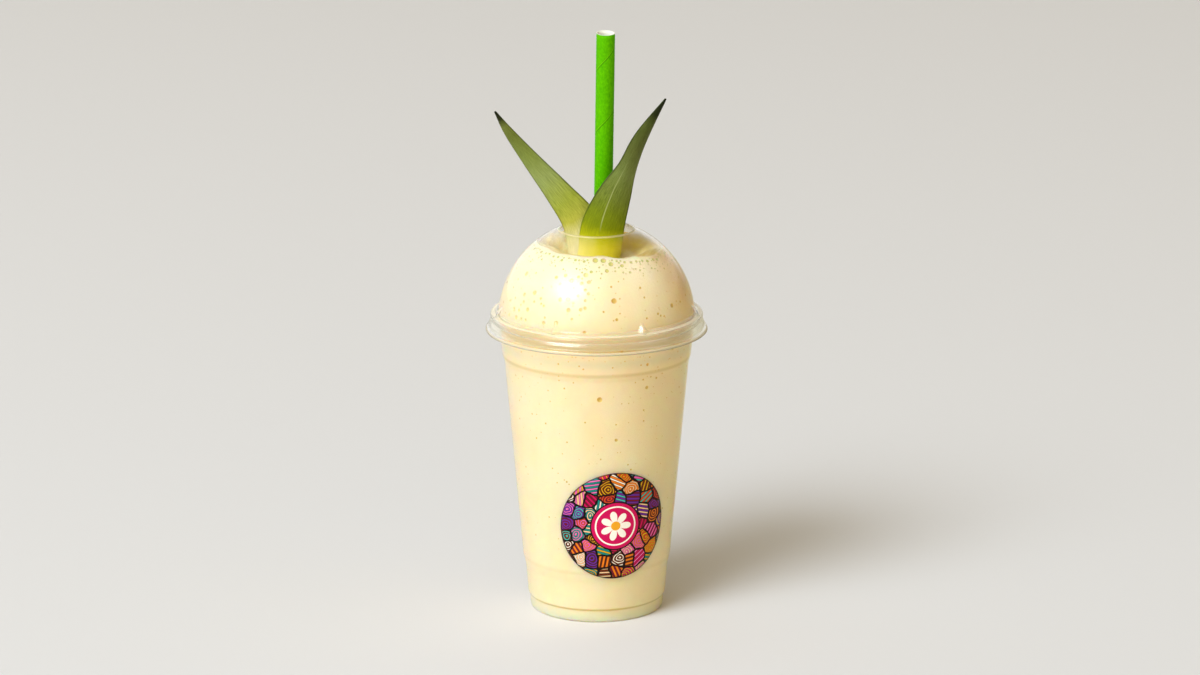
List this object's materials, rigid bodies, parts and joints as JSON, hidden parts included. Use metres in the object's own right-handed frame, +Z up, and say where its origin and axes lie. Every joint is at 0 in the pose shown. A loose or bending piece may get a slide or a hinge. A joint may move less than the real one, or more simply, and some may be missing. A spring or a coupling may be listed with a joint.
{
  "type": "pina colada",
  "caption": "Blended pineapple and coconut drink in a clear cup with a domed lid, with a paper straw and pineapple leaves standing in the lid's hole.",
  "frame": {"origin": "middle of the cup's foot, on the surface that it stands on", "axes": "+Z up along the cup; -Y towards the front; +X towards the right of the front"},
  "size_m": [0.1028, 0.1028, 0.2734],
  "materials": {
    "clear_plastic": "clear glossy thin plastic",
    "drink": "smooth pale yellow blended drink with small bubbles",
    "straw_paper": "bright green spiral-wound paper",
    "leaf": "waxy ribbed leaf with a grey bloom",
    "sticker_paper": "printed gloss paper"
  },
  "bodies": {
    "root": {"cup": "clear_plastic", "lid": "clear_plastic", "drink": "drink", "straw": "straw_paper", "leaf_left": "leaf", "leaf_right": "leaf", "sticker": "sticker_paper"}
  },
  "joints": []
}
